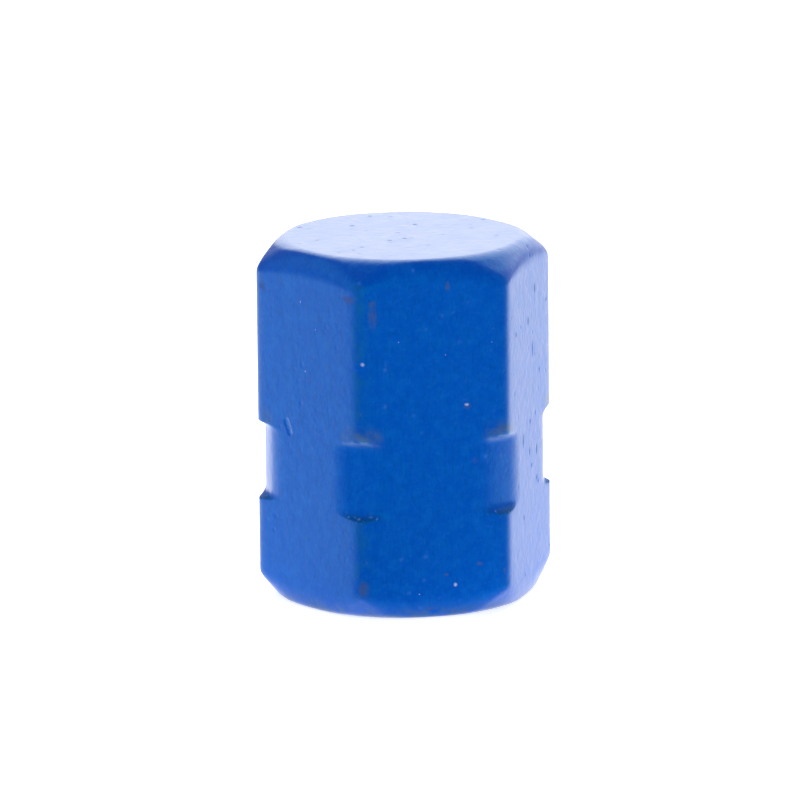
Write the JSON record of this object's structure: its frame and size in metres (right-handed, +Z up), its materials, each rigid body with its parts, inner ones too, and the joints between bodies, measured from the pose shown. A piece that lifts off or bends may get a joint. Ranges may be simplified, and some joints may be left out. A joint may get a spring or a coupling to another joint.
{
  "type": "tyre valve cap",
  "caption": "Hexagonal metal cap with a threaded blind bore and a rubber seal ring; it screws on a car tyre valve stem to keep dirt out and air in.",
  "frame": {"origin": "centre of the rim at the open end, which the cap stands on", "axes": "+Z up the cap's axis to the closed top, X through two corners of the hexagon, Y through two flats"},
  "size_m": [0.0114, 0.01, 0.0138],
  "materials": {
    "blue_painted_aluminium": "satin",
    "black_rubber": "matte"
  },
  "bodies": {
    "root": {"cap_body": "blue_painted_aluminium", "seal_ring": "black_rubber"}
  },
  "joints": []
}
